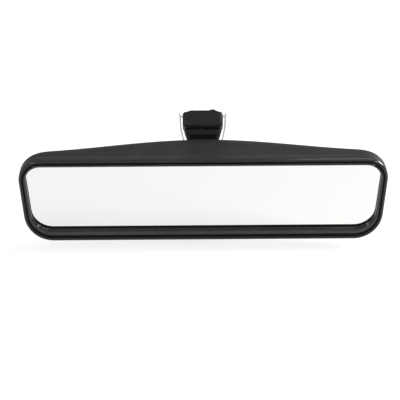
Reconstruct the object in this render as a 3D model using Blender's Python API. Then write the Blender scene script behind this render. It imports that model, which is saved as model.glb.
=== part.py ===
"""Interior rearview mirror with a dipping prism glass, a ball joint and a clip-on windscreen foot.

Run with: blender --background --python part.py

Frame: metres, +Z up, +X to the right of someone facing the glass, the glass faces -Y.
The origin is the middle of the foot's button seat, the flat floor of the channel in the shoe.
"""

import math

import bmesh
import bpy
from mathutils import Matrix, Vector

MM = 0.001
GAP = 0.3 * MM

# Front outline: a rounded trapezoid, widest near the top.
HALF_WIDTH = 125.2 * MM
HALF_HEIGHT = 30.0 * MM
SIDE_SLOPE = math.radians(5.6)
TOP_CORNER = 15.0 * MM
BOTTOM_CORNER = 20.0 * MM

# Bezel.
BEZEL_DEPTH = 9.0 * MM
RIM_WIDTH = 5.0 * MM
BEAD_WIDTH = 2.4 * MM
OPENING_SQUEEZE = 0.08
OPENING_RISE = 1.7 * MM
BEZEL_WALL = 3.1 * MM
TONGUE_INSET = 2.1 * MM
TONGUE_LENGTH = 1.5 * MM

# Glass: a wedge, thicker at the top.
GLASS_INSET = 3.5 * MM
GLASS_FRONT = 4.0 * MM
GLASS_MIDDLE_THICKNESS = 3.9 * MM
GLASS_WEDGE = 1.6 * MM
GLASS_ARRIS = 0.5 * MM
FILM_INSET = 4.6 * MM
FILM_THICKNESS = 0.3 * MM

# Rear case: a domed shell, deepest in the middle and raised towards its back.
CASE_FRONT = BEZEL_DEPTH + GAP
CASE_WALL = 1.8 * MM
CASE_DEPTH_END = 12.5 * MM
CASE_DEPTH_SWELL = 15.4 * MM
CASE_LIFT_END = 2.2 * MM
CASE_LIFT_SWELL = 8.2 * MM
CASE_SQUARENESS = 3.5
CASE_SWELL_POWER = 1.5
REAR_OPENING_HALF = (21.5 * MM, 19.5 * MM)
REAR_OPENING_Z = 10.9 * MM
REAR_OPENING_CORNER = 8.0 * MM

# Ball joint, in the head's own frame: glass centre at the bezel's front, +Y to the rear.
BALL_Y = 34.0 * MM
BALL_Z = 8.0 * MM
BALL_RADIUS = 8.0 * MM
STEM_RADIUS = 3.6 * MM
LINER_INNER = 8.3 * MM
LINER_OUTER = 9.6 * MM
LINER_RIM = 5.5 * MM
RING_INNER = 9.9 * MM
RING_OUTER = 10.9 * MM
CUP_INNER = 11.2 * MM
CUP_OUTER = 13.6 * MM
CUP_RIM = 5.0 * MM
CAP_TOP = 7.8 * MM
CAP_SCREW_X = 16.5 * MM
CAP_BOSS_RADIUS = 3.4 * MM

# Windscreen foot. Its axis leans towards the windscreen.
WINDSCREEN_LEAN = math.radians(30.0)
SEAT_DISTANCE = 35.0 * MM
SHOE_HALF_WIDTH = 14.0 * MM
SHOE_HALF_LENGTH = 13.0 * MM
SHOE_BOTTOM = -6.6 * MM
SHOE_TOP = 4.5 * MM
SHOE_ROUNDING = 2.4 * MM
CHANNEL_HALF_WIDTH = 10.0 * MM
CHANNEL_END = -9.5 * MM
ARM_TOP = SHOE_BOTTOM - GAP
CLIP_THICKNESS = 1.1 * MM
CLIP_FRONT = -1.0 * MM
CLIP_REAR = 7.0 * MM
CLIP_BASE = -15.8 * MM
SHOE_SCREW_Y = 4.2 * MM

# Dipping mechanism, in the head's own frame.
PIVOT_Y = 15.0 * MM
PIVOT_Z = 22.0 * MM
PIVOT_RADIUS = 1.5 * MM
LEVER_Y = 18.0 * MM
LEVER_Z = -18.0 * MM
LEVER_PIN_RADIUS = 1.3 * MM
LEVER_LEAN = math.radians(22.0)
LEVER_LENGTH = 20.0 * MM
LEVER_HUB_RADIUS = 2.5 * MM
LEVER_HALF_WIDTH = 7.5 * MM
FINGER_REACH = 3.4 * MM
FINGER_RADIUS = 1.2 * MM
PIN_CLEARANCE = 0.06 * MM


# ---------------------------------------------------------------- helpers

def clear_scene():
    """Remove every object that the file starts with."""
    for obj in list(bpy.data.objects):
        bpy.data.objects.remove(obj, do_unlink=True)


def material(name, colour, roughness, metallic=0.0):
    """Make a plain Principled material."""
    mat = bpy.data.materials.new(name)
    mat.use_nodes = True
    shader = mat.node_tree.nodes["Principled BSDF"]
    shader.inputs["Base Color"].default_value = (*colour, 1.0)
    shader.inputs["Roughness"].default_value = roughness
    shader.inputs["Metallic"].default_value = metallic
    return mat


def add_empty(name, location, lean=0.0):
    """Add a guide frame; lean turns its +Z from straight up towards +Y."""
    empty = bpy.data.objects.new(name, None)
    empty.location = location
    empty.rotation_euler = (-lean, 0.0, 0.0)
    bpy.context.scene.collection.objects.link(empty)
    return empty


def add_object(name, bm, mat, parent, offset=(0.0, 0.0, 0.0), smooth_angle=35.0):
    """Turn a bmesh into a named object under a parent frame."""
    bmesh.ops.recalc_face_normals(bm, faces=bm.faces)
    mesh = bpy.data.meshes.new(name)
    bm.to_mesh(mesh)
    bm.free()
    mesh.shade_smooth()
    mesh.set_sharp_from_angle(angle=math.radians(smooth_angle))
    mesh.materials.append(mat)
    obj = bpy.data.objects.new(name, mesh)
    obj.parent = parent
    obj.location = offset
    bpy.context.scene.collection.objects.link(obj)
    return obj


def combine(target, name, bm, operation, parent, offset=(0.0, 0.0, 0.0)):
    """Join a helper solid to a target, or cut it away, with an exact Boolean."""
    tool = add_object(name, bm, target.data.materials[0], parent, offset)
    tool.hide_render = True
    tool.display_type = "WIRE"
    boolean = target.modifiers.new(name, "BOOLEAN")
    boolean.operation = operation
    boolean.solver = "EXACT"
    boolean.object = tool


def loft(rings, closed_tube=False):
    """Skin closed rings of equal length; cap both ends, or join last to first."""
    bm = bmesh.new()
    rows = [[bm.verts.new(point) for point in ring] for ring in rings]
    count = len(rows[0])
    pairs = list(zip(rows, rows[1:]))
    if closed_tube:
        pairs.append((rows[-1], rows[0]))
    for lower, upper in pairs:
        for i in range(count):
            j = (i + 1) % count
            bm.faces.new((lower[i], lower[j], upper[j], upper[i]))
    if not closed_tube:
        bm.faces.new(rows[0])
        bm.faces.new(rows[-1])
    return bm


def revolve(profile, segments=24):
    """Turn an open profile of (radius, height) that starts and ends on the axis."""
    bm = bmesh.new()
    bottom = bm.verts.new((0.0, 0.0, profile[0][1]))
    top = bm.verts.new((0.0, 0.0, profile[-1][1]))
    rows = []
    for radius, height in profile[1:-1]:
        row = []
        for i in range(segments):
            turn = 2.0 * math.pi * i / segments
            row.append(bm.verts.new((radius * math.cos(turn), radius * math.sin(turn), height)))
        rows.append(row)
    for i in range(segments):
        j = (i + 1) % segments
        bm.faces.new((bottom, rows[0][j], rows[0][i]))
        bm.faces.new((top, rows[-1][i], rows[-1][j]))
        for lower, upper in zip(rows, rows[1:]):
            bm.faces.new((lower[i], lower[j], upper[j], upper[i]))
    return bm


def turned_ring(profile, segments=24):
    """Turn a closed profile of (radius, height) that stays off the axis."""
    rings = []
    for i in range(segments):
        turn = 2.0 * math.pi * i / segments
        rings.append([(r * math.cos(turn), r * math.sin(turn), h) for r, h in profile])
    return loft(rings, closed_tube=True)


def arc_profile(radius, start, end, steps):
    """Points (radius, height) on a sphere's outline, by polar angle from the top."""
    points = []
    for i in range(steps + 1):
        polar = start + (end - start) * i / steps
        points.append((radius * math.sin(polar), radius * math.cos(polar)))
    return points


def box(low, high):
    """A plain box between two corners."""
    bm = bmesh.new()
    bmesh.ops.create_cube(bm, size=1.0)
    size = Vector(high) - Vector(low)
    middle = (Vector(high) + Vector(low)) / 2.0
    bmesh.ops.scale(bm, vec=size, verts=bm.verts)
    bmesh.ops.translate(bm, vec=middle, verts=bm.verts)
    return bm


def bevelled_box(low, high, rounding, segments=3):
    """A box with all its edges rounded."""
    bm = box(low, high)
    bmesh.ops.bevel(bm, geom=bm.edges, offset=rounding, segments=segments, profile=0.5,
                    affect="EDGES", clamp_overlap=True)
    return bm


def cylinder(radius, start, end, axis, centre, segments=24):
    """A cylinder along a main axis, from start to end on that axis."""
    bm = bmesh.new()
    bmesh.ops.create_cone(bm, cap_ends=True, segments=segments, radius1=radius, radius2=radius,
                          depth=end - start)
    bmesh.ops.translate(bm, vec=(0.0, 0.0, (start + end) / 2.0), verts=bm.verts)
    if axis == "X":
        bmesh.ops.rotate(bm, matrix=Matrix.Rotation(math.pi / 2.0, 3, "Y"), verts=bm.verts)
    bmesh.ops.translate(bm, vec=centre, verts=bm.verts)
    return bm


def merge(*parts):
    """Put several bmeshes into one."""
    bm = bmesh.new()
    for part in parts:
        mesh = bpy.data.meshes.new("scratch")
        part.to_mesh(mesh)
        part.free()
        bm.from_mesh(mesh)
        bpy.data.meshes.remove(mesh)
    return bm


def rounded_section(half_x, half_y, corner, height, steps=5):
    """A rounded rectangle across the local Z axis."""
    points = []
    centres = ((1, 1), (-1, 1), (-1, -1), (1, -1))
    for quarter, (side_x, side_y) in enumerate(centres):
        for i in range(steps + 1):
            turn = math.pi / 2.0 * (quarter + i / steps)
            x = side_x * (half_x - corner) + corner * math.cos(turn)
            y = side_y * (half_y - corner) + corner * math.sin(turn)
            points.append((x, y, height))
    return points


def strip(path, thickness, front, rear):
    """A bent strip: a path in X and Z, thickened to its left, from front to rear along Y."""
    left = []
    for i, point in enumerate(path):
        before = Vector(path[max(i - 1, 0)])
        after = Vector(path[min(i + 1, len(path) - 1)])
        along = (after - before).normalized()
        normal = Vector((-along.y, along.x))
        left.append(Vector(point) + normal * thickness)
    section = [Vector(point) for point in path] + left[::-1]
    return loft([[(p.x, y, p.y) for p in section] for y in (front, rear)])


# ---------------------------------------------------------------- shared outlines

def half_outline(inset, arc_steps, spans):
    """The right half of the front outline, from top to bottom, as (x, z)."""
    centres = []
    widest = HALF_WIDTH + TOP_CORNER * (1.0 / math.cos(SIDE_SLOPE) - 1.0 + math.tan(SIDE_SLOPE))
    for radius, z in ((TOP_CORNER, HALF_HEIGHT - TOP_CORNER),
                      (BOTTOM_CORNER, BOTTOM_CORNER - HALF_HEIGHT)):
        x = widest - (HALF_HEIGHT - z) * math.tan(SIDE_SLOPE) - radius / math.cos(SIDE_SLOPE)
        centres.append((x, z, radius - inset))
    turns = ((math.pi / 2.0, -SIDE_SLOPE), (-SIDE_SLOPE, -math.pi / 2.0))
    arcs = []
    for (x, z, radius), (start, end) in zip(centres, turns):
        arc = []
        for i in range(arc_steps + 1):
            turn = start + (end - start) * i / arc_steps
            arc.append((x + radius * math.cos(turn), z + radius * math.sin(turn)))
        arcs.append(arc)
    top = [(centres[0][0] * i / spans, HALF_HEIGHT - inset) for i in range(spans)]
    bottom = [(centres[1][0] * (spans - i) / spans, inset - HALF_HEIGHT)
              for i in range(1, spans + 1)]
    return top + arcs[0] + arcs[1] + bottom


def outline(inset, arc_steps=8, spans=0):
    """The whole front outline, once round, as (x, z)."""
    right = half_outline(inset, arc_steps, spans)
    left = [(-x, z) for x, z in reversed(right)]
    if spans:
        left = left[1:-1]
    return right + left


def swell(x):
    """How far the case swells at a distance from the middle: 1 in the middle, 0 at the ends."""
    return max(math.cos(math.pi / 2.0 * x / HALF_WIDTH), 0.0) ** CASE_SWELL_POWER


def case_ring(points, angle, thinner):
    """One ring of the domed case: 0 is its front edge, a right angle its back."""
    shrink = math.cos(angle) ** (2.0 / CASE_SQUARENESS)
    rise = math.sin(angle) ** (2.0 / CASE_SQUARENESS)
    ring = []
    for point_x, point_z in points:
        x = point_x * shrink
        depth = CASE_DEPTH_END + CASE_DEPTH_SWELL * swell(x) - thinner
        lift = (CASE_LIFT_END + CASE_LIFT_SWELL * swell(x)) * rise ** 2
        ring.append((x, CASE_FRONT + depth * rise, point_z * shrink + lift))
    return ring


# ---------------------------------------------------------------- head

def make_bezel(frame, offset, mat):
    """Glossy frame: rounded rim, inner wall down to the glass, and a tongue into the case."""
    section = [
        (0.0, BEZEL_DEPTH),
        (0.0, 2.2 * MM),
        (0.3 * MM, 0.9 * MM),
        (1.1 * MM, 0.2 * MM),
        (BEAD_WIDTH, 0.0),
        (3.9 * MM, 0.4 * MM),
        (RIM_WIDTH - 0.3 * MM, 1.3 * MM),
        (RIM_WIDTH, 2.5 * MM),
        (RIM_WIDTH, GLASS_FRONT - GAP),
        (BEZEL_WALL, GLASS_FRONT - GAP),
        (BEZEL_WALL, BEZEL_DEPTH + TONGUE_LENGTH),
        (TONGUE_INSET, BEZEL_DEPTH + TONGUE_LENGTH),
        (TONGUE_INSET, BEZEL_DEPTH),
    ]
    back_of_lip = 9
    rings = []
    for number, (inset, y) in enumerate(section):
        share = (inset - BEAD_WIDTH) / (RIM_WIDTH - BEAD_WIDTH) if number < back_of_lip else 0.0
        share = max(share, 0.0)
        rings.append([(x, y, z + share * (OPENING_RISE - OPENING_SQUEEZE * z))
                      for x, z in outline(inset)])
    add_object("bezel", loft(rings, closed_tube=True), mat, frame, offset)


def glass_back(z):
    """Depth of the wedge's back face at a height."""
    return GLASS_FRONT + GLASS_MIDDLE_THICKNESS + GLASS_WEDGE * z / HALF_HEIGHT


def make_glass(frame, offset, mat):
    """Wedge of glass with ground edges."""
    edge = outline(GLASS_INSET)
    face = outline(GLASS_INSET + GLASS_ARRIS)
    rings = [
        [(x, GLASS_FRONT, z) for x, z in face],
        [(x, GLASS_FRONT + GLASS_ARRIS, z) for x, z in edge],
        [(x, glass_back(z) - GLASS_ARRIS, z) for x, z in edge],
        [(x, glass_back(z), z) for x, z in face],
    ]
    add_object("prism_glass", loft(rings), mat, frame, offset)


def make_film(frame, offset, mat):
    """Thin film that lies along the back of the glass."""
    points = outline(FILM_INSET)
    rings = [[(x, glass_back(z) + GAP + depth, z) for x, z in points]
             for depth in (0.0, FILM_THICKNESS)]
    add_object("safety_film", loft(rings), mat, frame, offset)


def make_foam(frame, offset, mat):
    """Two foam blocks between the film and the case."""
    half_length = 22.0 * MM
    for name, middle in (("foam_pad_left", -68.0 * MM), ("foam_pad_right", 68.0 * MM)):
        low = (middle - half_length, 10.6 * MM, -14.0 * MM)
        high = (middle + half_length, 20.6 * MM, 16.0 * MM)
        add_object(name, bevelled_box(low, high, 2.0 * MM, 1), mat, frame, offset)


def make_case(frame, offset, mat):
    """Domed shell with pin ears inside, a rear opening and a lever slot."""
    angles = [math.radians(a) for a in (0, 4, 10, 20, 30, 40, 50, 60, 70, 80, 86, 89)]
    outer = outline(0.0, 6, 7)
    inner = outline(CASE_WALL, 6, 7)
    rings = [case_ring(outer, angle, 0.0) for angle in reversed(angles)]
    rings += [case_ring(inner, angle, CASE_WALL) for angle in angles]
    case = add_object("rear_case", loft(rings), mat, frame, offset)

    pivot_ears = []
    for side in (-1.0, 1.0):
        inner_x, outer_x = sorted((side * 14.3 * MM, side * 17.3 * MM))
        pivot_ears.append(box((inner_x, 11.2 * MM, 18.0 * MM), (outer_x, 18.8 * MM, 29.2 * MM)))
    combine(case, "pivot_ears", merge(*pivot_ears), "UNION", frame, offset)
    lever_ears = []
    for side in (-1.0, 1.0):
        inner_x, outer_x = sorted((side * 9.4 * MM, side * 12.0 * MM))
        lever_ears.append(box((inner_x, 14.4 * MM, -27.0 * MM), (outer_x, 21.4 * MM, -14.8 * MM)))
    combine(case, "lever_ears", merge(*lever_ears), "UNION", frame, offset)

    half_x, half_z = REAR_OPENING_HALF
    opening = []
    for y in (25.0 * MM, 45.0 * MM):
        section = rounded_section(half_x, half_z, REAR_OPENING_CORNER, 0.0)
        opening.append([(x, y, z + REAR_OPENING_Z) for x, z, _ in section])
    combine(case, "rear_opening_cutter", loft(opening), "DIFFERENCE", frame, offset)
    slot = box((-8.6 * MM, 10.9 * MM, -36.0 * MM), (8.6 * MM, 25.4 * MM, -22.0 * MM))
    combine(case, "lever_slot_cutter", slot, "DIFFERENCE", frame, offset)
    holes = merge(
        cylinder(PIVOT_RADIUS + PIN_CLEARANCE, -20.0 * MM, 20.0 * MM, "X", (0.0, PIVOT_Y, PIVOT_Z)),
        cylinder(LEVER_PIN_RADIUS + PIN_CLEARANCE, -14.0 * MM, 14.0 * MM, "X",
                 (0.0, LEVER_Y, LEVER_Z)),
    )
    combine(case, "pin_hole_cutter", holes, "DIFFERENCE", frame, offset)


def make_pins(frame, offset, mat):
    """The head's pivot pin and the lever's pin."""
    pivot = cylinder(PIVOT_RADIUS, -17.3 * MM, 17.3 * MM, "X", (0.0, PIVOT_Y, PIVOT_Z))
    add_object("pivot_pin", pivot, mat, frame, offset)
    lever = cylinder(LEVER_PIN_RADIUS, -12.0 * MM, 12.0 * MM, "X", (0.0, LEVER_Y, LEVER_Z))
    add_object("lever_pin", lever, mat, frame, offset)


def make_detent_spring(frame, offset, mat):
    """Steel leaf: its foot lies on the case, its upper leg bears on the lever's hub."""
    hub_back = LEVER_Y + LEVER_HUB_RADIUS + GAP
    path = [
        (hub_back + 0.3 * MM, LEVER_Z + 2.1 * MM),
        (hub_back, LEVER_Z + 1.0 * MM),
        (hub_back, LEVER_Z - 1.0 * MM),
        (hub_back + 0.9 * MM, LEVER_Z - 2.6 * MM),
        (hub_back + 2.4 * MM, LEVER_Z - 3.2 * MM),
        (hub_back + 4.6 * MM, LEVER_Z - 2.6 * MM),
    ]
    bm = strip(path, 0.45 * MM, -4.0 * MM, 4.0 * MM)
    turn = Matrix(((0.0, 1.0, 0.0), (1.0, 0.0, 0.0), (0.0, 0.0, 1.0)))
    bmesh.ops.transform(bm, matrix=turn.to_4x4(), verts=bm.verts)
    add_object("detent_spring", bm, mat, frame, offset)


def make_lever(axis_frame, mat):
    """Lever in its own frame: hub on the pin, tab below, finger above, leaning to the rear."""
    hub = cylinder(LEVER_HUB_RADIUS, -9.0 * MM, 9.0 * MM, "X", (0.0, 0.0, 0.0))
    lever = add_object("dipping_lever", hub, mat, axis_frame)
    tab_sections = [
        (LEVER_HALF_WIDTH, 1.4 * MM, -1.0 * MM),
        (LEVER_HALF_WIDTH, 1.4 * MM, -11.0 * MM),
        (LEVER_HALF_WIDTH, 1.7 * MM, -16.0 * MM),
        (LEVER_HALF_WIDTH - 0.6 * MM, 1.7 * MM, -18.6 * MM),
        (LEVER_HALF_WIDTH - 2.2 * MM, 1.1 * MM, -LEVER_LENGTH),
    ]
    tab = loft([rounded_section(x, y, 1.0 * MM, z, 2) for x, y, z in tab_sections])
    finger = cylinder(FINGER_RADIUS, -3.7 * MM, 3.7 * MM, "X", (0.0, 0.0, FINGER_REACH), 16)
    for bm in (tab, finger):
        bmesh.ops.rotate(bm, matrix=Matrix.Rotation(LEVER_LEAN, 3, "X"), verts=bm.verts)
    combine(lever, "lever_tab", tab, "UNION", axis_frame)
    combine(lever, "lever_finger", finger, "UNION", axis_frame)
    hole = cylinder(LEVER_PIN_RADIUS + PIN_CLEARANCE, -10.0 * MM, 10.0 * MM, "X", (0.0, 0.0, 0.0))
    combine(lever, "lever_hole_cutter", hole, "DIFFERENCE", axis_frame)


# ---------------------------------------------------------------- ball joint

def make_bracket(ball_frame, head_frame, offset, mat):
    """Socket cup on a plate that hangs from the pivot pin and ends in the lever's fork."""
    cup_profile = [(0.0, -CUP_OUTER)]
    cup_profile += arc_profile(CUP_OUTER, math.radians(165.0), math.radians(90.0), 5)
    cup_profile += [(CUP_OUTER, CUP_RIM), (0.0, CUP_RIM)]
    bracket = add_object("toggle_bracket", revolve(cup_profile, 32), mat, ball_frame)

    bosses = [cylinder(CAP_BOSS_RADIUS, -5.0 * MM, CUP_RIM, "Z", (side * CAP_SCREW_X, 0.0, 0.0), 20)
              for side in (-1.0, 1.0)]
    bosses.append(box((-CAP_SCREW_X, -1.5 * MM, -5.0 * MM), (CAP_SCREW_X, 1.5 * MM, 4.0 * MM)))
    for number, boss in enumerate(bosses):
        combine(bracket, f"cap_boss_{number}", boss, "UNION", ball_frame)
    plate = bevelled_box((-13.0 * MM, 13.0 * MM, -7.0 * MM), (13.0 * MM, 16.0 * MM, 23.0 * MM),
                         0.8 * MM, 1)
    combine(bracket, "plate", plate, "UNION", head_frame, offset)
    neck = bevelled_box((-9.0 * MM, 14.5 * MM, -2.0 * MM), (9.0 * MM, 27.0 * MM, 17.0 * MM),
                        1.0 * MM, 1)
    combine(bracket, "neck", neck, "UNION", head_frame, offset)
    barrel = cylinder(3.6 * MM, -13.8 * MM, 13.8 * MM, "X", (0.0, PIVOT_Y, PIVOT_Z))
    combine(bracket, "barrel", barrel, "UNION", head_frame, offset)
    tongue = box((-4.2 * MM, 13.3 * MM, -15.0 * MM), (4.2 * MM, 20.2 * MM, -5.0 * MM))
    combine(bracket, "fork", tongue, "UNION", head_frame, offset)

    finger_y = LEVER_Y - FINGER_REACH * math.sin(LEVER_LEAN)
    half_slot = FINGER_RADIUS + 0.4 * MM
    slot = box((-5.0 * MM, finger_y - half_slot, -18.0 * MM),
               (5.0 * MM, finger_y + half_slot, -12.6 * MM))
    combine(bracket, "fork_slot_cutter", slot, "DIFFERENCE", head_frame, offset)
    barrel_hole = cylinder(PIVOT_RADIUS + PIN_CLEARANCE, -15.0 * MM, 15.0 * MM, "X",
                           (0.0, PIVOT_Y, PIVOT_Z))
    combine(bracket, "barrel_hole_cutter", barrel_hole, "DIFFERENCE", head_frame, offset)
    hollow = bmesh.new()
    bmesh.ops.create_uvsphere(hollow, u_segments=32, v_segments=16, radius=CUP_INNER)
    combine(bracket, "cup_cutter", hollow, "DIFFERENCE", ball_frame)
    screw_holes = merge(*[
        cylinder(1.3 * MM, -4.0 * MM, 8.0 * MM, "Z", (side * CAP_SCREW_X, 0.0, 0.0), 16)
        for side in (-1.0, 1.0)])
    combine(bracket, "screw_hole_cutter", screw_holes, "DIFFERENCE", ball_frame)


def make_liner(ball_frame, mat):
    """Thin nylon shell round the ball, open towards the stem."""
    profile = [(0.0, -LINER_OUTER)]
    profile += arc_profile(LINER_OUTER, math.radians(168.0), math.acos(LINER_RIM / LINER_OUTER), 8)
    profile += arc_profile(LINER_INNER, math.acos(LINER_RIM / LINER_INNER), math.radians(168.0), 8)
    profile.append((0.0, -LINER_INNER))
    add_object("socket_liner", revolve(profile), mat, ball_frame)


def make_spring_ring(ball_frame, mat):
    """Split steel band round the liner, bowed to the sphere's shape."""
    top = math.radians(66.0)
    bottom = math.radians(112.0)
    section = arc_profile(RING_OUTER, top, bottom, 4) + arc_profile(RING_INNER, bottom, top, 4)
    steps = 24
    split = math.radians(6.0)
    rings = []
    for i in range(steps + 1):
        turn = split + (2.0 * math.pi - 2.0 * split) * i / steps
        rings.append([(r * math.cos(turn), r * math.sin(turn), h) for r, h in section])
    add_object("socket_spring", loft(rings), mat, ball_frame)


def make_cap(ball_frame, mat):
    """Ring that closes the socket, with two screw ears."""
    underside = CUP_RIM + GAP
    start = math.acos(underside / CUP_INNER)
    end = math.acos(CAP_TOP / CUP_INNER)
    section = arc_profile(CUP_INNER, start, end, 3)
    section += [(CUP_OUTER - 1.0 * MM, CAP_TOP), (CUP_OUTER, CAP_TOP - 1.0 * MM)]
    section.append((CUP_OUTER, underside))
    cap = add_object("socket_cap", turned_ring(section, 32), mat, ball_frame)
    for number, side in enumerate((-1.0, 1.0)):
        ear = cylinder(CAP_BOSS_RADIUS, underside, CAP_TOP, "Z", (side * CAP_SCREW_X, 0.0, 0.0), 20)
        combine(cap, f"cap_ear_{number}", ear, "UNION", ball_frame)
    holes = merge(*[cylinder(1.3 * MM, 4.0 * MM, 9.0 * MM, "Z", (side * CAP_SCREW_X, 0.0, 0.0), 16)
                    for side in (-1.0, 1.0)])
    combine(cap, "cap_hole_cutter", holes, "DIFFERENCE", ball_frame)


def screw(shank_radius, length, head_radius, head_height, countersunk):
    """A screw whose head's underside, or flush top, is at height 0, pointing down."""
    if countersunk:
        profile = [(0.0, -length), (shank_radius * 0.6, -length), (shank_radius, -length + 1.0 * MM),
                   (shank_radius, -head_height), (head_radius, -0.1 * MM), (head_radius, 0.0),
                   (1.2 * MM, 0.0), (1.0 * MM, -0.7 * MM), (0.0, -0.7 * MM)]
    else:
        profile = [(0.0, -length), (shank_radius * 0.6, -length), (shank_radius, -length + 1.0 * MM),
                   (shank_radius, 0.0), (head_radius, 0.0), (head_radius, head_height * 0.6),
                   (head_radius * 0.8, head_height), (1.1 * MM, head_height),
                   (0.9 * MM, head_height - 0.8 * MM), (0.0, head_height - 0.8 * MM)]
    return revolve(profile, 16)


def make_cap_screws(ball_frame, mat):
    """Two pan-head screws through the cap's ears."""
    for name, side in (("cap_screw_left", -1.0), ("cap_screw_right", 1.0)):
        bm = screw(1.0 * MM, 11.0 * MM, 2.4 * MM, 1.5 * MM, False)
        add_object(name, bm, mat, ball_frame, (side * CAP_SCREW_X, 0.0, CAP_TOP + GAP))


# ---------------------------------------------------------------- windscreen foot

def make_arm(seat_frame, mat):
    """Neck that flares from the ball's stem to the shoe."""
    ball_z = -SEAT_DISTANCE
    stem_turn = math.asin(STEM_RADIUS / BALL_RADIUS)
    rings = []
    for i in range(11):
        polar = math.radians(174.0) + (stem_turn - math.radians(174.0)) * i / 10
        radius = BALL_RADIUS * math.sin(polar)
        rings.append(rounded_section(radius, radius, radius, ball_z + BALL_RADIUS * math.cos(polar)))
    sections = [
        (STEM_RADIUS, STEM_RADIUS, STEM_RADIUS, 9.4 * MM),
        (4.4 * MM, 3.7 * MM, 3.4 * MM, 12.4 * MM),
        (6.6 * MM, 3.8 * MM, 3.6 * MM, 15.6 * MM),
        (9.6 * MM, 4.1 * MM, 3.9 * MM, 19.4 * MM),
        (11.3 * MM, 4.6 * MM, 4.2 * MM, 21.6 * MM),
        (12.1 * MM, 7.0 * MM, 3.6 * MM, 24.0 * MM),
        (12.9 * MM, 7.4 * MM, 2.2 * MM, 26.8 * MM),
        (13.0 * MM, 7.4 * MM, 2.2 * MM, 27.4 * MM),
        (12.4 * MM, 6.8 * MM, 1.8 * MM, SEAT_DISTANCE + ARM_TOP),
    ]
    for half_x, half_y, corner, height in sections:
        rings.append(rounded_section(half_x, half_y, corner, ball_z + height))
    arm = add_object("ball_arm", loft(rings), mat, seat_frame)
    groove = box((-16.0 * MM, CLIP_FRONT - GAP, CLIP_BASE - CLIP_THICKNESS - GAP),
                 (16.0 * MM, 12.0 * MM, CLIP_BASE + GAP))
    combine(arm, "clip_groove_cutter", groove, "DIFFERENCE", seat_frame)
    pilots = merge(*[cylinder(1.5 * MM, -12.2 * MM, 0.0, "Z", (0.0, y, 0.0), 16)
                     for y in (-SHOE_SCREW_Y, SHOE_SCREW_Y)])
    combine(arm, "pilot_hole_cutter", pilots, "DIFFERENCE", seat_frame)


def make_shoe(seat_frame, mat):
    """Block with a channel for the windscreen button, closed at its upper end."""
    low = (-SHOE_HALF_WIDTH, -SHOE_HALF_LENGTH, SHOE_BOTTOM)
    high = (SHOE_HALF_WIDTH, SHOE_HALF_LENGTH, SHOE_TOP)
    shoe = add_object("mount_shoe", bevelled_box(low, high, SHOE_ROUNDING), mat, seat_frame)
    ridges = ((0.0, 10.6 * MM, 1.8 * MM, 0.7 * MM), (6.8 * MM, 2.6 * MM, 1.0 * MM, 1.3 * MM))
    for number, (middle, half_x, slant, height) in enumerate(ridges):
        sections = [(half_x, 1.0 * MM, 2.0 * MM), (half_x, 1.0 * MM, SHOE_TOP),
                    (half_x - slant, 0.7 * MM, SHOE_TOP + height)]
        ridge = loft([rounded_section(x, y, 0.5 * MM, z, 2) for x, y, z in sections])
        combine(shoe, f"stop_ridge_{number}", ridge, "UNION", seat_frame, (middle, -11.2 * MM, 0.0))
    channel = box((-CHANNEL_HALF_WIDTH, CHANNEL_END, 0.0),
                  (CHANNEL_HALF_WIDTH, SHOE_HALF_LENGTH + 2.0 * MM, SHOE_TOP + 3.0 * MM))
    combine(shoe, "channel_cutter", channel, "DIFFERENCE", seat_frame)
    windows = box((-18.0 * MM, CLIP_FRONT + 0.7 * MM, 2.1 * MM),
                  (18.0 * MM, CLIP_REAR - 0.7 * MM, SHOE_TOP + 3.0 * MM))
    combine(shoe, "clip_window_cutter", windows, "DIFFERENCE", seat_frame)
    recess = [(0.0, SHOE_BOTTOM - 1.0 * MM), (1.5 * MM, SHOE_BOTTOM - 1.0 * MM),
              (1.5 * MM, -1.9 * MM), (2.9 * MM, -0.4 * MM), (2.9 * MM, 1.0 * MM), (0.0, 1.0 * MM)]
    for number, y in enumerate((-SHOE_SCREW_Y, SHOE_SCREW_Y)):
        combine(shoe, f"screw_recess_cutter_{number}", revolve(recess, 16), "DIFFERENCE", seat_frame,
                (0.0, y, 0.0))


def make_clip(seat_frame, mat):
    """Spring-steel U: base in the arm's groove, leaves up the shoe's sides, lips into the channel."""
    half = [
        (15.6 * MM, SHOE_TOP + 0.4 * MM),
        (15.1 * MM, 1.2 * MM),
        (14.9 * MM, -4.0 * MM),
        (14.3 * MM, -7.6 * MM),
        (13.1 * MM, -13.2 * MM),
        (12.4 * MM, -15.2 * MM),
        (11.5 * MM, CLIP_BASE),
    ]
    path = half + [(-x, z) for x, z in reversed(half)]
    # The path runs right to left, so its left side is the outside of the U.
    clip = add_object("spring_clip", strip(path, CLIP_THICKNESS, CLIP_FRONT, CLIP_REAR), mat, seat_frame)
    lips = [box((inner, CLIP_FRONT + 1.1 * MM, 2.5 * MM), (outer, CLIP_REAR - 1.1 * MM, 3.3 * MM))
            for inner, outer in ((-15.6 * MM, -9.2 * MM), (9.2 * MM, 15.6 * MM))]
    combine(clip, "clip_lips", merge(*lips), "UNION", seat_frame)


def make_shoe_screws(seat_frame, mat):
    """Two countersunk screws from the channel's floor into the arm."""
    for name, y in (("shoe_screw_upper", -SHOE_SCREW_Y), ("shoe_screw_lower", SHOE_SCREW_Y)):
        bm = screw(1.2 * MM, 11.4 * MM, 2.5 * MM, 1.6 * MM, True)
        add_object(name, bm, mat, seat_frame, (0.0, y, -0.3 * MM))


# ---------------------------------------------------------------- assembly

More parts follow.
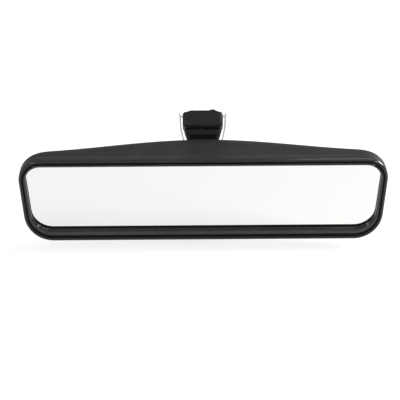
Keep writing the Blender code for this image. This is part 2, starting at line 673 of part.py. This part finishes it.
def main():
    clear_scene()
    case_plastic = material("case_plastic", (0.045, 0.045, 0.05), 0.6)
    bezel_plastic = material("bezel_plastic", (0.012, 0.012, 0.014), 0.16)
    foot_plastic = material("foot_plastic", (0.025, 0.025, 0.028), 0.42)
    bracket_plastic = material("bracket_plastic", (0.03, 0.03, 0.03), 0.5)
    liner_nylon = material("liner_nylon", (0.75, 0.73, 0.66), 0.4)
    mirror_glass = material("mirror_glass", (0.85, 0.87, 0.87), 0.03, 1.0)
    film = material("film", (0.2, 0.2, 0.21), 0.5)
    foam = material("foam", (0.06, 0.06, 0.065), 0.95)
    spring_steel = material("spring_steel", (0.62, 0.62, 0.6), 0.3, 1.0)
    zinc_steel = material("zinc_steel", (0.55, 0.55, 0.53), 0.35, 1.0)

    seat = add_empty("seat_frame", (0.0, 0.0, 0.0), WINDSCREEN_LEAN)
    foot_axis = Vector((0.0, math.sin(WINDSCREEN_LEAN), math.cos(WINDSCREEN_LEAN)))
    ball_point = -SEAT_DISTANCE * foot_axis
    ball = add_empty("ball_centre", ball_point, WINDSCREEN_LEAN)
    glass_centre = ball_point - Vector((0.0, BALL_Y, BALL_Z))
    pivot_offset = Vector((0.0, PIVOT_Y, PIVOT_Z))
    tilt_axis = add_empty("tilt_axis", glass_centre + pivot_offset)
    lever_axis = add_empty("lever_axis", glass_centre + Vector((0.0, LEVER_Y, LEVER_Z)))

    make_case(tilt_axis, -pivot_offset, case_plastic)
    make_bezel(tilt_axis, -pivot_offset, bezel_plastic)
    make_glass(tilt_axis, -pivot_offset, mirror_glass)
    make_film(tilt_axis, -pivot_offset, film)
    make_foam(tilt_axis, -pivot_offset, foam)
    make_pins(tilt_axis, -pivot_offset, zinc_steel)
    make_detent_spring(tilt_axis, -pivot_offset, spring_steel)
    make_lever(lever_axis, bracket_plastic)

    make_bracket(ball, tilt_axis, -pivot_offset, bracket_plastic)
    make_liner(ball, liner_nylon)
    make_spring_ring(ball, spring_steel)
    make_cap(ball, bracket_plastic)
    make_cap_screws(ball, zinc_steel)

    make_arm(seat, foot_plastic)
    make_shoe(seat, foot_plastic)
    make_clip(seat, spring_steel)
    make_shoe_screws(seat, zinc_steel)


main()
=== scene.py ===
"""Looks of the interior rearview mirror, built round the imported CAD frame."""

import math

import bmesh
import bpy
from mathutils import Matrix, Vector


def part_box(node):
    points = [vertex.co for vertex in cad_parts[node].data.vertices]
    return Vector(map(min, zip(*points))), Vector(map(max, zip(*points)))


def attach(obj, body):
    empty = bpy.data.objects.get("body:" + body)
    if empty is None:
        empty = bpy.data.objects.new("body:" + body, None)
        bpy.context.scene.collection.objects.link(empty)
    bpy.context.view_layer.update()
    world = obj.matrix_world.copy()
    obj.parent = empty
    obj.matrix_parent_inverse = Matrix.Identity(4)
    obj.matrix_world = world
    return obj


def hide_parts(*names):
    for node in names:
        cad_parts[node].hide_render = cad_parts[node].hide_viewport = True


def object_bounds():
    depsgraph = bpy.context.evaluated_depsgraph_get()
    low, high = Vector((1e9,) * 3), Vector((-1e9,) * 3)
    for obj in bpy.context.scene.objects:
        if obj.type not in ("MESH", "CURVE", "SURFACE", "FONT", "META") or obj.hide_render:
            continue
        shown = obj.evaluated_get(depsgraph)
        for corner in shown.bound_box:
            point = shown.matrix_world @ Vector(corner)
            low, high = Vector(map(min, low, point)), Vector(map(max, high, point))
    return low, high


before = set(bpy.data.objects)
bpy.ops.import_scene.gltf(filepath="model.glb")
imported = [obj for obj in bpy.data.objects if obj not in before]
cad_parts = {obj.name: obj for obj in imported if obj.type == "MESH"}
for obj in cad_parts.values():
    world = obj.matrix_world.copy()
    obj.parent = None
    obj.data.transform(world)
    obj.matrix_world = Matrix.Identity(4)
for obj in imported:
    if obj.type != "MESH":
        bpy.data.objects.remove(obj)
cad_low, cad_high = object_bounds()

MM = 0.001
SMOOTH_ANGLE = math.radians(40.0)

# The head's own frame: glass centre at the bezel's front, +Y to the rear.
BEZEL_LOW, BEZEL_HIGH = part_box("bezel")
HEAD = Vector((0.0, BEZEL_LOW.y, (BEZEL_LOW.z + BEZEL_HIGH.z) / 2.0))
HALF_WIDTH = 125.2 * MM
HALF_HEIGHT = (BEZEL_HIGH.z - BEZEL_LOW.z) / 2.0
SIDE_SLOPE = math.radians(5.6)
TOP_CORNER = 15.0 * MM
BOTTOM_CORNER = 20.0 * MM

# Clearance of the bezel from the case and from the glass.
GAP = 0.3 * MM

# Bezel: sizes of its section, and the order of its three finishes; the dull finish is a darker black that
# paints shade into the groove and the inner wall.
BEZEL_DEPTH = 9.0 * MM
BEAD_WIDTH = 2.4 * MM
GROOVE_WIDTH = 0.8 * MM
GROOVE_DEPTH = 1.2 * MM
RIM_WIDTH = 5.0 * MM
OPENING_SQUEEZE = 0.08
OPENING_RISE = 1.7 * MM
GLASS_FRONT = 4.0 * MM
LIP_WALL = 3.1 * MM
TONGUE_INSET = 2.1 * MM
TONGUE_LENGTH = 1.5 * MM
REAR_CHAMFER = 0.3 * MM
MATTE, POLISHED, DULL_SHADE = range(3)

# Case: a domed shell, deepest and highest in the middle.
CASE_FRONT = BEZEL_DEPTH + GAP
CASE_WALL = 1.8 * MM
CASE_EDGE = 1.0 * MM
CASE_DEPTH_END = 12.5 * MM
CASE_DEPTH_SWELL = 15.4 * MM
CASE_LIFT_END = 2.2 * MM
CASE_LIFT_SWELL = 8.2 * MM
CASE_SQUARENESS = 3.5
CASE_SWELL_POWER = 1.5
REAR_OPENING_HALF = (21.5 * MM, 19.5 * MM)
REAR_OPENING_CORNER = 8.0 * MM
REAR_OPENING_Z = 10.9 * MM
REAR_OPENING_REACH = (25.0 * MM, 45.0 * MM)
LEVER_SLOT = ((-8.6 * MM, 10.9 * MM, -36.0 * MM), (8.6 * MM, 25.4 * MM, -22.0 * MM))

# Ears inside the case that carry the pins: low and high x, then low and high (y, z).
PIVOT_EARS = ((14.3 * MM, 17.3 * MM), (11.2 * MM, 18.0 * MM), (18.8 * MM, 29.2 * MM))
LEVER_EARS = ((9.4 * MM, 12.0 * MM), (14.4 * MM, -27.0 * MM), (21.4 * MM, -14.8 * MM))

# The camera: 24 degrees above the glass's normal, from a long way off, turned and shifted a little.
CAMERA_ELEVATION = math.radians(24.0)
CAMERA_DISTANCE = 1.2
VIEW_WIDTH = 0.2717
CAMERA_ROLL = math.radians(-0.4)
VIEW_SHIFT = (-2.3 * MM, 0.45 * MM)

# The studio.
FLOOR_GLOW = 0.80
FLOOR_DROP = 0.5 * MM
FLOOR_SIZE = 6.0
WORLD_STRENGTH = 0.5


# ---------------------------------------------------------------- materials

def new_material(name):
    """An empty node material: its tree, its shader, and a function that adds a node."""
    mat = bpy.data.materials.new(name)
    mat.use_nodes = True
    tree = mat.node_tree
    shader = tree.nodes["Principled BSDF"]

    def add(kind, **values):
        node = tree.nodes.new(kind)
        for key, value in values.items():
            if key in node.inputs:
                node.inputs[key].default_value = value
            else:
                setattr(node, key, value)
        return node

    return mat, tree, shader, add


def place(tree, add, scale=(1.0, 1.0, 1.0)):
    """Object coordinates, stretched."""
    coordinates = add("ShaderNodeTexCoord")
    mapping = add("ShaderNodeMapping")
    mapping.inputs["Scale"].default_value = scale
    tree.links.new(coordinates.outputs["Object"], mapping.inputs["Vector"])
    return mapping.outputs["Vector"]


def noise(tree, add, vector, scale, detail=3.0, roughness=0.55):
    """A noise texture's value."""
    node = add("ShaderNodeTexNoise", Scale=scale, Detail=detail, Roughness=roughness)
    tree.links.new(vector, node.inputs["Vector"])
    return node.outputs["Fac"]


def spread(tree, add, value, low, high, start=0.3, end=0.7):
    """A value taken from start..end to low..high."""
    node = add("ShaderNodeMapRange")
    for socket, number in zip(("From Min", "From Max", "To Min", "To Max"), (start, end, low, high)):
        node.inputs[socket].default_value = number
    tree.links.new(value, node.inputs["Value"])
    return node.outputs["Result"]


def ramp(tree, add, value, stops):
    """Colour by value."""
    node = add("ShaderNodeValToRGB")
    elements = node.color_ramp.elements
    while len(elements) < len(stops):
        elements.new(0.5)
    for element, (position, colour) in zip(elements, stops):
        element.position = position
        element.color = (*colour, 1.0)
    tree.links.new(value, node.inputs["Fac"])
    return node.outputs["Color"]


def blend_colours(tree, add, factor, first, second):
    """Mix two colour outputs by a factor."""
    node = add("ShaderNodeMix", data_type="RGBA")
    tree.links.new(factor, node.inputs["Factor"])
    tree.links.new(first, node.inputs["A"])
    tree.links.new(second, node.inputs["B"])
    return node.outputs["Result"]


def bump(tree, add, shader, height, distance, strength, under=None):
    """Raise the surface by a height, on top of another bump if there is one."""
    node = add("ShaderNodeBump", Strength=strength, Distance=distance)
    tree.links.new(height, node.inputs["Height"])
    if under is not None:
        tree.links.new(under, node.inputs["Normal"])
    tree.links.new(node.outputs["Normal"], shader.inputs["Normal"])
    return node.outputs["Normal"]


def edge_wear(tree, add):
    """1 on convex edges, 0 elsewhere."""
    geometry = add("ShaderNodeNewGeometry")
    return spread(tree, add, geometry.outputs["Pointiness"], 0.0, 1.0, 0.515, 0.60)


def moulded_plastic(name, dark, light, worn, roughness, grain_scale, grain_depth, specular=0.5):
    """Moulded plastic: spark-eroded grain, uneven gloss and slightly paler worn edges."""
    mat, tree, shader, add = new_material(name)
    vector = place(tree, add)
    tone = ramp(tree, add, noise(tree, add, vector, 60.0, 4.0), ((0.3, dark), (0.7, light)))
    grain = noise(tree, add, vector, grain_scale, 2.0, 0.6)
    speckle = noise(tree, add, vector, grain_scale * 0.45, 4.0, 0.7)
    pale = ramp(tree, add, speckle, ((0.35, tuple(c * 0.85 for c in dark)), (0.7, worn)))
    wear = edge_wear(tree, add)
    tree.links.new(blend_colours(tree, add, wear, tone, pale), shader.inputs["Base Color"])
    uneven = noise(tree, add, vector, 170.0, 3.0)
    tree.links.new(spread(tree, add, uneven, roughness - 0.06, roughness + 0.06),
                   shader.inputs["Roughness"])
    shader.inputs["Specular IOR Level"].default_value = specular
    coarse = bump(tree, add, shader, speckle, grain_depth * 1.6, 0.5)
    bump(tree, add, shader, grain, grain_depth, 0.8, coarse)
    return mat


def polished_plastic():
    """Glossy black mouldings with a faint flow ripple and hairline scratches."""
    mat, tree, shader, add = new_material("polished_black")
    vector = place(tree, add)
    tone = ramp(tree, add, noise(tree, add, vector, 45.0), ((0.3, (0.010, 0.010, 0.012)),
                                                            (0.7, (0.017, 0.017, 0.020))))
    tree.links.new(tone, shader.inputs["Base Color"])
    hairs = noise(tree, add, place(tree, add, (30.0, 900.0, 900.0)), 1.0, 2.0, 0.6)
    tree.links.new(spread(tree, add, hairs, 0.07, 0.16, 0.35, 0.75), shader.inputs["Roughness"])
    shader.inputs["Specular IOR Level"].default_value = 0.3
    shader.inputs["Coat Weight"].default_value = 0.3
    shader.inputs["Coat Roughness"].default_value = 0.06
    ripple = bump(tree, add, shader, noise(tree, add, vector, 90.0, 2.0), 0.00004, 0.35)
    bump(tree, add, shader, hairs, 0.00001, 0.3, ripple)
    return mat


def silvered_glass():
    """Mirror glass: bright silvering with faint wiping haze."""
    mat, tree, shader, add = new_material("silvered_glass")
    vector = place(tree, add)
    tone = ramp(tree, add, noise(tree, add, vector, 18.0), ((0.3, (0.765, 0.770, 0.756)),
                                                            (0.7, (0.780, 0.785, 0.773))))
    tree.links.new(tone, shader.inputs["Base Color"])
    shader.inputs["Metallic"].default_value = 1.0
    haze = noise(tree, add, place(tree, add, (14.0, 40.0, 55.0)), 1.0, 5.0, 0.6)
    tree.links.new(spread(tree, add, haze, 0.012, 0.05, 0.4, 0.8), shader.inputs["Roughness"])
    shader.inputs["Coat Weight"].default_value = 0.1
    shader.inputs["Coat Roughness"].default_value = 0.02
    bump(tree, add, shader, noise(tree, add, vector, 25.0, 1.0), 0.000004, 0.2)
    return mat


def worked_steel(name, dark, light, roughness, stretch, pits=0.3):
    """Bare or plated steel, with rolling marks along one way and small dull spots."""
    mat, tree, shader, add = new_material(name)
    vector = place(tree, add)
    lines = noise(tree, add, place(tree, add, stretch), 1.0, 3.0, 0.6)
    tone = ramp(tree, add, lines, ((0.3, dark), (0.7, light)))
    spots = spread(tree, add, noise(tree, add, vector, 700.0, 4.0, 0.7), 0.0, pits, 0.58, 0.75)
    stain = ramp(tree, add, noise(tree, add, vector, 250.0), ((0.3, tuple(c * 0.5 for c in dark)),
                                                              (0.7, tuple(c * 0.8 for c in dark))))
    tree.links.new(blend_colours(tree, add, spots, tone, stain), shader.inputs["Base Color"])
    shader.inputs["Metallic"].default_value = 1.0
    tree.links.new(spread(tree, add, lines, roughness - 0.07, roughness + 0.1),
                   shader.inputs["Roughness"])
    bump(tree, add, shader, lines, 0.00002, 0.4)
    return mat


def foam_material():
    """Open-cell foam."""
    mat, tree, shader, add = new_material("open_cell_foam")
    vector = place(tree, add)
    cells = add("ShaderNodeTexVoronoi", Scale=900.0)
    tree.links.new(vector, cells.inputs["Vector"])
    tone = ramp(tree, add, cells.outputs["Distance"], ((0.1, (0.02, 0.02, 0.022)),
                                                       (0.8, (0.085, 0.085, 0.09))))
    tree.links.new(tone, shader.inputs["Base Color"])
    tree.links.new(spread(tree, add, cells.outputs["Distance"], 0.85, 1.0), shader.inputs["Roughness"])
    bump(tree, add, shader, cells.outputs["Distance"], 0.0004, 1.0)
    return mat


def film_material():
    """Thin polyester film with a satin face."""
    mat, tree, shader, add = new_material("backing_film")
    vector = place(tree, add)
    tone = ramp(tree, add, noise(tree, add, vector, 35.0), ((0.3, (0.16, 0.16, 0.17)),
                                                            (0.7, (0.22, 0.22, 0.23))))
    tree.links.new(tone, shader.inputs["Base Color"])
    wrinkle = noise(tree, add, place(tree, add, (20.0, 20.0, 80.0)), 1.0, 4.0)
    tree.links.new(spread(tree, add, wrinkle, 0.35, 0.55), shader.inputs["Roughness"])
    bump(tree, add, shader, wrinkle, 0.0001, 0.4)
    return mat


CASE_BLACK = moulded_plastic("grained_case_black", (0.012, 0.0123, 0.0143), (0.018, 0.0184, 0.0212),
                             (0.042, 0.043, 0.047), 0.52, 2600.0, 0.00006, 0.2)
FOOT_BLACK = moulded_plastic("foot_black", (0.007, 0.007, 0.008), (0.012, 0.012, 0.0135),
                             (0.035, 0.035, 0.038), 0.46, 1800.0, 0.00004, 0.18)
INNER_BLACK = moulded_plastic("inner_black", (0.022, 0.022, 0.023), (0.036, 0.036, 0.038),
                              (0.060, 0.060, 0.062), 0.48, 1500.0, 0.00004)
NYLON = moulded_plastic("natural_nylon", (0.66, 0.64, 0.56), (0.76, 0.74, 0.67),
                        (0.82, 0.81, 0.76), 0.4, 1200.0, 0.00003)
# A darker, duller black: painted shade for the bezel's groove and its inner wall down to the glass.
SHADED_DULL_BLACK = moulded_plastic("dull_black_painted_shade", (0.006, 0.006, 0.007), (0.010, 0.010, 0.011),
                             (0.014, 0.014, 0.015), 0.7, 2200.0, 0.00004, 0.03)
GLOSS_BLACK = polished_plastic()
SILVERED = silvered_glass()
SPRING_STEEL = worked_steel("spring_steel", (0.78, 0.775, 0.76), (0.95, 0.945, 0.93), 0.24,
                            (900.0, 900.0, 60.0))
ZINC = worked_steel("zinc_plated_steel", (0.48, 0.48, 0.45), (0.66, 0.66, 0.62), 0.34,
                    (500.0, 500.0, 500.0), 0.5)
FOAM = foam_material()
FILM = film_material()


# ---------------------------------------------------------------- head shapes

def outline(inset, arc_steps=16, spans=0):
    """The front outline, once round, as (x, z): a rounded trapezoid, inset by a distance."""
    slope_cos, slope_tan = math.cos(SIDE_SLOPE), math.tan(SIDE_SLOPE)
    widest = HALF_WIDTH + TOP_CORNER * (1.0 / slope_cos - 1.0 + slope_tan)
    right = []
    corners = ((TOP_CORNER, HALF_HEIGHT - TOP_CORNER, math.pi / 2.0, -SIDE_SLOPE),
               (BOTTOM_CORNER, BOTTOM_CORNER - HALF_HEIGHT, -SIDE_SLOPE, -math.pi / 2.0))
    middles = []
    for radius, z, start, end in corners:
        x = widest - (HALF_HEIGHT - z) * slope_tan - radius / slope_cos
        middles.append(x)
        for i in range(arc_steps + 1):
            turn = start + (end - start) * i / arc_steps
            reach = radius - inset
            right.append((x + reach * math.cos(turn), z + reach * math.sin(turn)))
    top = [(middles[0] * i / spans, HALF_HEIGHT - inset) for i in range(spans)]
    bottom = [(middles[1] * (spans - i) / spans, inset - HALF_HEIGHT) for i in range(1, spans + 1)]
    right = top + right + bottom
    left = [(-x, z) for x, z in reversed(right)]
    if spans:
        left = left[1:-1]
    return right + left


def case_outline(inset):
    """The outline with points along its long sides, for the dome to bend."""
    return outline(inset, 12, 20)


def swell(x):
    """How far the case swells at a distance from the middle."""
    return max(math.cos(math.pi / 2.0 * x / HALF_WIDTH), 0.0) ** CASE_SWELL_POWER


def case_ring(points, angle, thinner):
    """One ring of the domed case: 0 is its front edge, a right angle its back."""
    shrink = math.cos(angle) ** (2.0 / CASE_SQUARENESS)
    rise = math.sin(angle) ** (2.0 / CASE_SQUARENESS)
    ring = []
    for point_x, point_z in points:
        x = point_x * shrink
        depth = CASE_DEPTH_END + CASE_DEPTH_SWELL * swell(x) - thinner
        lift = (CASE_LIFT_END + CASE_LIFT_SWELL * swell(x)) * rise ** 2
        ring.append((x, CASE_FRONT + depth * rise, point_z * shrink + lift))
    return ring


def skin(rings, closed=False, strips=None):
    """Skin closed rings; strips gives each band of faces its material index."""
    bm = bmesh.new()
    rows = [[bm.verts.new(Vector(point) + HEAD) for point in ring] for ring in rings]
    pairs = list(zip(rows, rows[1:]))
    if closed:
        pairs.append((rows[-1], rows[0]))
    count = len(rows[0])
    for number, (first, second) in enumerate(pairs):
        for i in range(count):
            j = (i + 1) % count
            face = bm.faces.new((first[i], first[j], second[j], second[i]))
            face.material_index = strips[number] if strips else 0
    if not closed:
        bm.faces.new(rows[0])
        bm.faces.new(rows[-1])
    return bm


def make_piece(name, bm, mats):
    """A smooth-shaded object from a bmesh."""
    bmesh.ops.recalc_face_normals(bm, faces=bm.faces)
    mesh = bpy.data.meshes.new(name)
    bm.to_mesh(mesh)
    bm.free()
    for mat in mats:
        mesh.materials.append(mat)
    mesh.shade_smooth()
    mesh.set_sharp_from_angle(angle=SMOOTH_ANGLE)
    obj = bpy.data.objects.new(name, mesh)
    bpy.context.scene.collection.objects.link(obj)
    return obj


def box(low, high):
    """A box between two corners in the head's frame."""
    bm = bmesh.new()
    bmesh.ops.create_cube(bm, size=1.0)
    bmesh.ops.scale(bm, vec=Vector(high) - Vector(low), verts=bm.verts)
    bmesh.ops.translate(bm, vec=(Vector(high) + Vector(low)) / 2.0 + HEAD, verts=bm.verts)
    return bm


def rear_opening(steps=8):
    """The cutter for the rear opening, a rounded rectangle along Y."""
    straight = [half - REAR_OPENING_CORNER for half in REAR_OPENING_HALF]
    rings = []
    for y in REAR_OPENING_REACH:
        ring = []
        for corner, (side_x, side_z) in enumerate(((1, 1), (-1, 1), (-1, -1), (1, -1))):
            for i in range(steps + 1):
                turn = math.pi / 2.0 * (corner + i / steps)
                ring.append((side_x * straight[0] + REAR_OPENING_CORNER * math.cos(turn), y,
                             REAR_OPENING_Z + side_z * straight[1] + REAR_OPENING_CORNER * math.sin(turn)))
        rings.append(ring)
    return skin(rings)


def apply_boolean(target, bm, operation):
    """Join a solid to a piece, or cut it away, for good."""
    tool = make_piece("tool", bm, [target.data.materials[0]])
    boolean = target.modifiers.new("boolean", "BOOLEAN")
    boolean.operation = operation
    boolean.solver = "EXACT"
    boolean.object = tool
    graph = bpy.context.evaluated_depsgraph_get()
    mesh = bpy.data.meshes.new_from_object(target.evaluated_get(graph))
    target.modifiers.clear()
    target.data = mesh
    bpy.data.objects.remove(tool, do_unlink=True)
    mesh.set_sharp_from_angle(angle=SMOOTH_ANGLE)


def add_ears(case, ears):
    """A pair of ears, left and right, joined to the case."""
    (near, far), low, high = ears
    for low_x, high_x in ((-far, -near), (near, far)):
        apply_boolean(case, box((low_x, *low), (high_x, *high)), "UNION")


def make_case():
    """The rear shell: softened front edge, dome, rear opening, lever slot and pin ears."""
    dome_steps = 36
    edge_steps = 4
    angles = [math.radians(89.5) * (i / dome_steps) for i in range(1, dome_steps + 1)]
    rings = [case_ring(case_outline(0.0), angle, 0.0) for angle in reversed(angles)]
    for i in range(edge_steps + 1):
        turn = math.pi / 2.0 * i / edge_steps
        points = case_outline(CASE_EDGE * (1.0 - math.cos(turn)))
        rings.append([(x, CASE_FRONT + CASE_EDGE * (1.0 - math.sin(turn)), z) for x, z in points])
    inner = case_outline(CASE_WALL)
    rings.append([(x, CASE_FRONT, z) for x, z in inner])
    rings += [case_ring(inner, angle, CASE_WALL) for angle in angles]
    case = make_piece("rear_case_shell", skin(rings), [CASE_BLACK])
    add_ears(case, PIVOT_EARS)
    add_ears(case, LEVER_EARS)
    apply_boolean(case, rear_opening(), "DIFFERENCE")
    apply_boolean(case, box(*LEVER_SLOT), "DIFFERENCE")
    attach(case, "head")
    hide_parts("rear_case")


def quarter(start, end, inset_first=False, steps=8):
    """A quarter ellipse of (inset, depth) from start to end, leaving in depth or, if asked, in inset."""
    points = []
    for i in range(steps + 1):
        turn = math.pi / 2.0 * i / steps
        along, across = math.sin(turn), 1.0 - math.cos(turn)
        if inset_first:
            along, across = across, along
        points.append((start[0] + (end[0] - start[0]) * across,
                       start[1] + (end[1] - start[1]) * along))
    return points


def bezel_front():
    """The bezel's front from its outer edge to the glass: runs of (inset, depth), each with its finish."""
    groove = BEAD_WIDTH + GROOVE_WIDTH
    side = [(0.0, BEZEL_DEPTH - REAR_CHAMFER), (0.0, 4.0 * MM)]
    corner = quarter((0.0, 2.4 * MM), (1.2 * MM, 0.3 * MM))
    bead = quarter((1.4 * MM, 0.3 * MM), (BEAD_WIDTH, 0.8 * MM), True)
    dip = [(BEAD_WIDTH + 0.05 * MM, GROOVE_DEPTH), (groove - 0.05 * MM, GROOVE_DEPTH)]
    rim = quarter((groove, 0.6 * MM), (groove + 0.7 * MM, 0.0), steps=5)
    rim += quarter((groove + 0.9 * MM, 0.0), (RIM_WIDTH, 2.0 * MM), True)
    wall = [rim.pop(), (RIM_WIDTH, GLASS_FRONT - GAP)]
    # The first two rows of the corner stay as matte as the side.
    # The groove and the wall take the dull finish, a darker black that paints shade into them.
    return ((side + corner[:2], MATTE), (corner[2:], POLISHED), (bead, MATTE), (dip, DULL_SHADE),
            (rim, POLISHED), (wall, DULL_SHADE))


def bezel_back():
    """The bezel's back from the glass outwards: the lip behind the rim and the tongue into the case."""
    lip_back = GLASS_FRONT - GAP
    tongue_end = BEZEL_DEPTH + TONGUE_LENGTH
    return ((LIP_WALL, lip_back), (LIP_WALL, tongue_end), (TONGUE_INSET, tongue_end),
            (TONGUE_INSET, BEZEL_DEPTH), (REAR_CHAMFER, BEZEL_DEPTH))


def make_bezel():
    """The frame: matte bead with a polished corner, dull groove and inner wall darkened as painted shade,
    polished rim dipping to the glass.
    """
    rings = []
    strips = []
    for run, finish in bezel_front():
        for inset, depth in run:
            share = max((inset - BEAD_WIDTH) / (RIM_WIDTH - BEAD_WIDTH), 0.0)
            rings.append([(x, depth, z + share * (OPENING_RISE - OPENING_SQUEEZE * z))
                          for x, z in outline(inset)])
            strips.append(finish)
    for inset, depth in bezel_back():
        rings.append([(x, depth, z) for x, z in outline(inset)])
        strips.append(DULL_SHADE)
    bezel = make_piece("bezel_frame", skin(rings, closed=True, strips=strips),
                       [CASE_BLACK, GLOSS_BLACK, SHADED_DULL_BLACK])
    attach(bezel, "head")
    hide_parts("bezel")


# ---------------------------------------------------------------- materials of the CAD nodes

NODE_MATERIALS = {
    "mount_shoe": FOOT_BLACK, "ball_arm": FOOT_BLACK, "toggle_bracket": INNER_BLACK,
    "socket_cap": INNER_BLACK, "dipping_lever": FOOT_BLACK, "socket_liner": NYLON,
    "socket_spring": SPRING_STEEL, "spring_clip": SPRING_STEEL, "detent_spring": SPRING_STEEL,
    "cap_screw_left": ZINC, "cap_screw_right": ZINC, "shoe_screw_upper": ZINC,
    "shoe_screw_lower": ZINC, "pivot_pin": ZINC, "lever_pin": ZINC, "prism_glass": SILVERED,
    "safety_film": FILM, "foam_pad_left": FOAM, "foam_pad_right": FOAM,
    "rear_case": CASE_BLACK, "bezel": GLOSS_BLACK,
}


def dress_nodes():
    """Give every CAD node its finished material, also the two that are replaced."""
    for name, mat in NODE_MATERIALS.items():
        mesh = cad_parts[name].data
        mesh.materials.clear()
        mesh.materials.append(mat)


# ---------------------------------------------------------------- studio

def make_floor():
    """A wide pale floor under the object's lowest point, lit from within to soften the shadow."""
    mat, tree, shader, add = new_material("studio_floor")
    vector = place(tree, add)
    tone = ramp(tree, add, noise(tree, add, vector, 3.0), ((0.3, (0.27, 0.27, 0.27)),
                                                           (0.7, (0.29, 0.29, 0.29))))
    tree.links.new(tone, shader.inputs["Base Color"])
    glow = ramp(tree, add, noise(tree, add, vector, 2.0), ((0.3, (0.99, 0.99, 0.99)),
                                                           (0.7, (1.0, 1.0, 1.0))))
    tree.links.new(glow, shader.inputs["Emission Color"])
    shader.inputs["Emission Strength"].default_value = FLOOR_GLOW
    shader.inputs["Roughness"].default_value = 0.7
    shader.inputs["Specular IOR Level"].default_value = 0.1
    bm = bmesh.new()
    bmesh.ops.create_grid(bm, x_segments=2, y_segments=2, size=FLOOR_SIZE)
    floor = make_piece("floor", bm, [mat])
    floor.location = (0.0, 0.0, cad_low.z - FLOOR_DROP)


def add_light(name, position, target, size, power):
    """A soft square light aimed at a point."""
    light = bpy.data.lights.new(name, "AREA")
    light.shape = "SQUARE"
    light.size = size
    light.energy = power
    obj = bpy.data.objects.new(name, light)
    obj.location = position
    obj.rotation_euler = (Vector(target) - Vector(position)).to_track_quat("-Z", "Y").to_euler()
    bpy.context.scene.collection.objects.link(obj)


def make_lights():
    """White surroundings, a broad light overhead, one behind to the right and two small ones in front."""
    world = bpy.data.worlds.new("studio")
    world.use_nodes = True
    world.node_tree.nodes["Background"].inputs["Color"].default_value = (1.0, 1.0, 1.0, 1.0)
    world.node_tree.nodes["Background"].inputs["Strength"].default_value = WORLD_STRENGTH
    bpy.context.scene.world = world
    bpy.context.scene.view_settings.view_transform = "Standard"
    add_light("overhead", HEAD + Vector((0.38, 0.0, 1.05)), HEAD, 0.5, 3.6)
    add_light("rear_right", HEAD + Vector((0.75, 0.3, 0.4)), HEAD, 0.28, 10.0)
    add_light("front_left", HEAD + Vector((-0.5, -0.7, 0.5)), HEAD, 0.12, 1.5)
    add_light("front_right", HEAD + Vector((0.6, -0.7, 0.5)), HEAD, 0.12, 2.2)


def make_camera():
    """The glass seen straight on in plan, from above and from far off."""
    camera = bpy.data.cameras.new("camera")
    camera.lens = camera.sensor_width * CAMERA_DISTANCE / VIEW_WIDTH
    obj = bpy.data.objects.new("camera", camera)
    back = Vector((0.0, -math.cos(CAMERA_ELEVATION), math.sin(CAMERA_ELEVATION)))
    target = HEAD + Vector((VIEW_SHIFT[0], 0.0, VIEW_SHIFT[1]))
    turn = (-back).to_track_quat("-Z", "Y").to_matrix() @ Matrix.Rotation(CAMERA_ROLL, 3, "Z")
    obj.matrix_world = Matrix.Translation(target + back * CAMERA_DISTANCE) @ turn.to_4x4()
    bpy.context.scene.collection.objects.link(obj)
    bpy.context.scene.camera = obj


make_camera()
make_case()
make_bezel()
dress_nodes()
make_floor()
make_lights()
